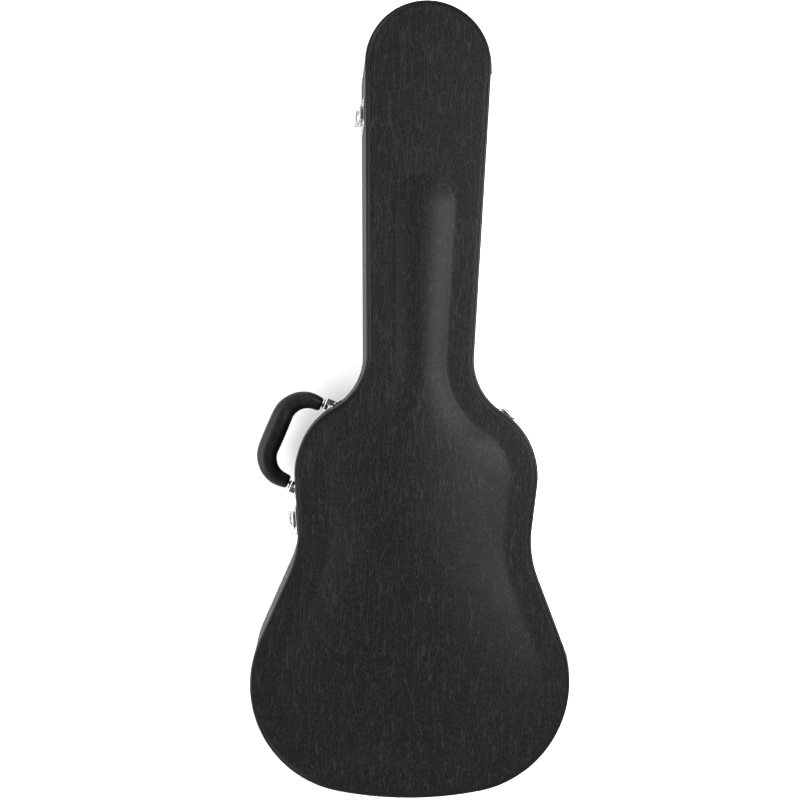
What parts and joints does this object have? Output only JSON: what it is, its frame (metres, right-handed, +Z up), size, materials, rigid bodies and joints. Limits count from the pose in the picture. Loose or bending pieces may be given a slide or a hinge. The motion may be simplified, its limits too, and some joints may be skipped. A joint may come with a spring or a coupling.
{
  "type": "hardshell acoustic guitar case",
  "caption": "Guitar-shaped hardshell case with a hinged arched lid, over-centre draw latches, a swinging carrying handle, plush padding, a neck cradle and a lidded pocket.",
  "frame": {"origin": "middle of the flat back that the case lies on, half way along its length", "axes": "+Z up out of the lid, +Y to the head end, +X to the hinge side"},
  "size_m": [0.4585, 1.1098, 0.156],
  "materials": {
    "vinyl_covered_shell": "grained black-brown vinyl stretched over plywood, satin",
    "edge_binding": "smooth rolled vinyl binding, satin",
    "mouth_lip": "anodised, satin",
    "plush_lining": "short black plush over foam",
    "pull_tab": "woven ribbon",
    "handle_cover": "smooth moulded grip, semi-gloss",
    "pocket_pin": "drawn wire",
    "plated_hardware": "chrome-plated pressed steel"
  },
  "bodies": {
    "base": {"back_panel": "vinyl_covered_shell", "base_edge_binding": "edge_binding", "base_rim": "vinyl_covered_shell", "base_side_pad": "plush_lining", "floor_pad": "plush_lining", "handle_bracket_head": "plated_hardware", "handle_bracket_rivets": "plated_hardware", "handle_bracket_tail": "plated_hardware", "handle_pins": "plated_hardware", "headstock_pad": "plush_lining", "hinge_base_leaf_head": "plated_hardware", "hinge_base_leaf_tail": "plated_hardware", "hinge_base_rivets": "plated_hardware", "hinge_pin_head": "plated_hardware", "hinge_pin_tail": "plated_hardware", "latch_pivot_pins": "plated_hardware", "latch_plate_neck": "plated_hardware", "latch_plate_rivets": "plated_hardware", "latch_plate_shoulder": "plated_hardware", "latch_plate_tail_left": "plated_hardware", "latch_plate_tail_right": "plated_hardware", "latch_plate_waist": "plated_hardware", "mouth_lip": "mouth_lip", "neck_cradle": "plush_lining", "pocket_front_wall": "plush_lining", "pocket_hinge_pin": "pocket_pin", "pocket_rear_wall": "plush_lining"},
    "lid": {"hinge_lid_leaf_head": "plated_hardware", "hinge_lid_leaf_tail": "plated_hardware", "hinge_lid_rivets": "plated_hardware", "latch_strike_neck": "plated_hardware", "latch_strike_rivets": "plated_hardware", "latch_strike_shoulder": "plated_hardware", "latch_strike_tail_left": "plated_hardware", "latch_strike_tail_right": "plated_hardware", "latch_strike_waist": "plated_hardware", "lid_edge_binding": "edge_binding", "lid_lining": "plush_lining", "lid_panel": "vinyl_covered_shell", "lid_rim": "vinyl_covered_shell", "lid_side_pad": "plush_lining"},
    "pocket_flap": {"pocket_lid": "plush_lining", "pocket_pull_tab": "pull_tab"},
    "handle": {"handle_grip": "handle_cover", "handle_eyes": "plated_hardware"},
    "lever_neck": {"latch_lever_neck": "plated_hardware"},
    "hasp_neck": {"latch_hasp_neck": "plated_hardware"},
    "lever_waist": {"latch_lever_waist": "plated_hardware"},
    "hasp_waist": {"latch_hasp_waist": "plated_hardware"},
    "lever_tail_left": {"latch_lever_tail_left": "plated_hardware"},
    "hasp_tail_left": {"latch_hasp_tail_left": "plated_hardware"},
    "lever_tail_right": {"latch_lever_tail_right": "plated_hardware"},
    "hasp_tail_right": {"latch_hasp_tail_right": "plated_hardware"},
    "lever_shoulder": {"latch_lever_shoulder": "plated_hardware"},
    "hasp_shoulder": {"latch_hasp_shoulder": "plated_hardware"}
  },
  "joints": [
    {"name": "lid_hinge", "type": "hinge", "parent": "base", "child": "lid", "pos_m": [0.15921, 0.05562, 0.096], "axis": [-0.1562, 0.9877, 0], "range_deg": [0, 105]},
    {"name": "pocket_flap_hinge", "type": "hinge", "parent": "base", "child": "pocket_flap", "pos_m": [0, 0.1214, 0.0544], "axis": [1, 0, 0], "range_deg": [-95, 0]},
    {"name": "handle_swing", "type": "hinge", "parent": "base", "child": "handle", "pos_m": [-0.15232, -0.06982, 0.054], "axis": [0.3665, 0.9304, 0], "range_deg": [-50, 50]},
    {"name": "lever_neck", "type": "hinge", "parent": "base", "child": "lever_neck", "pos_m": [-0.09159, 0.40282, 0.084], "axis": [-0.0321, 0.9995, 0], "range_deg": [0, 150]},
    {"name": "hasp_neck", "type": "hinge", "parent": "lever_neck", "child": "hasp_neck", "pos_m": [-0.09089, 0.40284, 0.07603], "axis": [-0.0321, 0.9995, 0], "range_deg": [-137, 0]},
    {"name": "lever_waist", "type": "hinge", "parent": "base", "child": "lever_waist", "pos_m": [-0.17058, -0.1747, 0.084], "axis": [-0.1027, 0.9947, 0], "range_deg": [0, 150]},
    {"name": "hasp_waist", "type": "hinge", "parent": "lever_waist", "child": "hasp_waist", "pos_m": [-0.16988, -0.17463, 0.07603], "axis": [-0.1027, 0.9947, 0], "range_deg": [-137, 0]},
    {"name": "lever_tail_left", "type": "hinge", "parent": "base", "child": "lever_tail_left", "pos_m": [-0.18061, -0.50923, 0.084], "axis": [-0.7193, 0.6947, 0], "range_deg": [0, 150]},
    {"name": "hasp_tail_left", "type": "hinge", "parent": "lever_tail_left", "child": "hasp_tail_left", "pos_m": [-0.18013, -0.50873, 0.07603], "axis": [-0.7193, 0.6947, 0], "range_deg": [-137, 0]},
    {"name": "lever_tail_right", "type": "hinge", "parent": "base", "child": "lever_tail_right", "pos_m": [0.16807, -0.52014, 0.084], "axis": [-0.788, -0.6157, 0], "range_deg": [0, 150]},
    {"name": "hasp_tail_right", "type": "hinge", "parent": "lever_tail_right", "child": "hasp_tail_right", "pos_m": [0.16764, -0.51959, 0.07603], "axis": [-0.788, -0.6157, 0], "range_deg": [-137, 0]},
    {"name": "lever_shoulder", "type": "hinge", "parent": "base", "child": "lever_shoulder", "pos_m": [0.13232, -0.01627, 0.084], "axis": [0.788, -0.6157, 0], "range_deg": [0, 150]},
    {"name": "hasp_shoulder", "type": "hinge", "parent": "lever_shoulder", "child": "hasp_shoulder", "pos_m": [0.13189, -0.01682, 0.07603], "axis": [0.788, -0.6157, 0], "range_deg": [-137, 0]}
  ],
  "couplings": [
    {"joint": "hasp_neck", "follows": "lever_neck", "ratio": -0.9},
    {"joint": "hasp_waist", "follows": "lever_waist", "ratio": -0.9},
    {"joint": "hasp_tail_left", "follows": "lever_tail_left", "ratio": -0.9},
    {"joint": "hasp_tail_right", "follows": "lever_tail_right", "ratio": -0.9},
    {"joint": "hasp_shoulder", "follows": "lever_shoulder", "ratio": -0.9}
  ]
}
